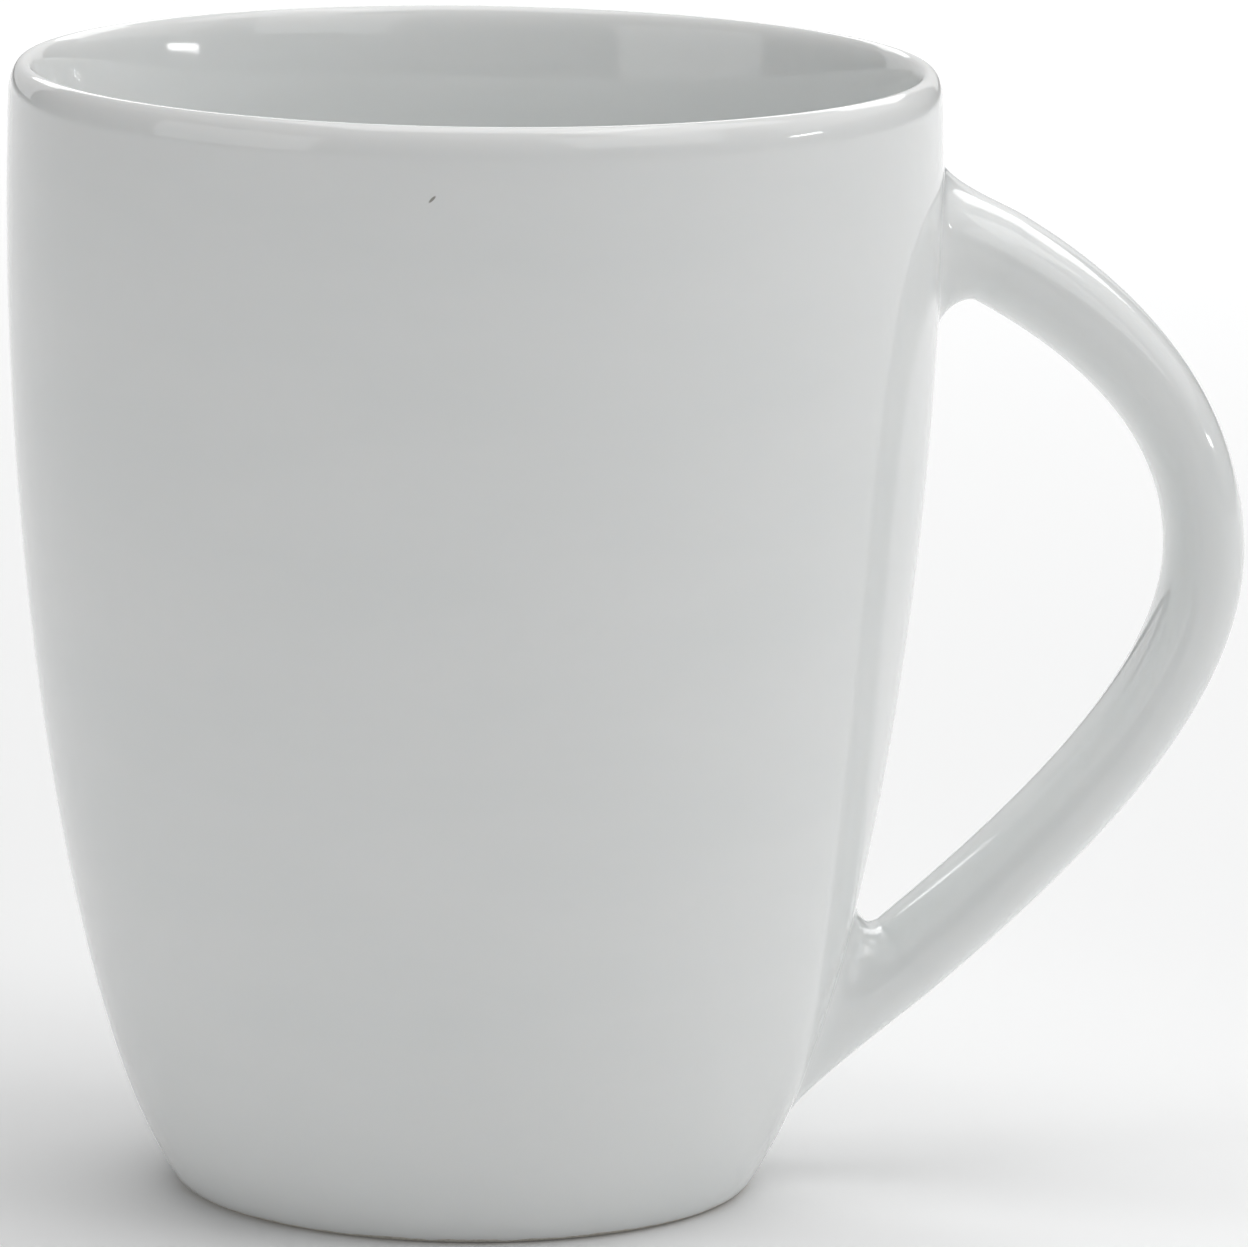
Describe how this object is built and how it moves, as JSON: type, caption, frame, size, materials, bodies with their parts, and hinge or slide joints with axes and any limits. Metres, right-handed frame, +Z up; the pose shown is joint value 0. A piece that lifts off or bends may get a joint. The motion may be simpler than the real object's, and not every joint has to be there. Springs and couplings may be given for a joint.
{
  "type": "mug",
  "caption": "Tall glazed porcelain mug with a tapering round body, rounded lip, recessed foot and open loop handle.",
  "frame": {"origin": "on the standing plane of the foot, under the middle of the mug's whole length with its handle", "axes": "+X from the cup towards the handle, +Z up along the cup's axis, and the handle's loop lies in the XZ plane"},
  "size_m": [0.1154, 0.0862, 0.105],
  "materials": {
    "cup_glaze": "clear gloss glaze over white porcelain, with an unglazed foot ring",
    "handle_glaze": "clear gloss glaze over white porcelain",
    "joint_glaze": "clear gloss glaze over white casting slip"
  },
  "bodies": {
    "root": {"cup_body": "cup_glaze", "handle": "handle_glaze", "upper_handle_joint": "joint_glaze", "lower_handle_joint": "joint_glaze"}
  },
  "joints": []
}
